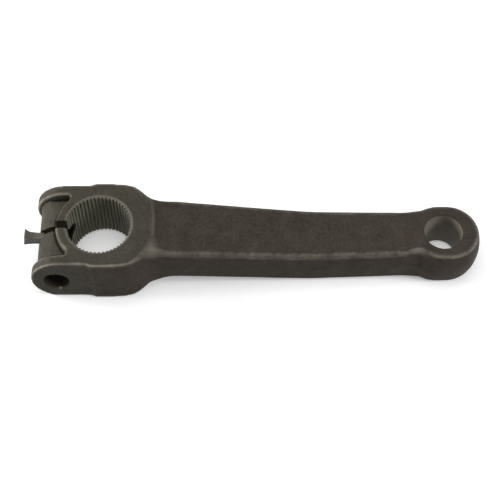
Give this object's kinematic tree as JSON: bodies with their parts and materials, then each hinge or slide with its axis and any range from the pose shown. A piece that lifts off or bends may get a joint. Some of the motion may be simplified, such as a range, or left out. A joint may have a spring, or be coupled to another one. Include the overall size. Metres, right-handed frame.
{
  "type": "pitman arm",
  "caption": "Forged steel pitman arm: a split clamp head with a serrated bore, a cranked tapering shank and a tapered eye for a ball stud.",
  "frame": {"origin": "on the axis of the serrated bore, at the middle of the clamp head's height", "axes": "+X from the bore to the eye, +Z along the bore's axis on the side of the eye's wide mouth, +Y across the arm"},
  "size_m": [0.2287, 0.0476, 0.0309],
  "materials": {
    "forged_steel": "matte",
    "wedge_steel": "satin"
  },
  "bodies": {
    "root": {"arm": "forged_steel", "slit_wedge": "wedge_steel"}
  },
  "joints": []
}
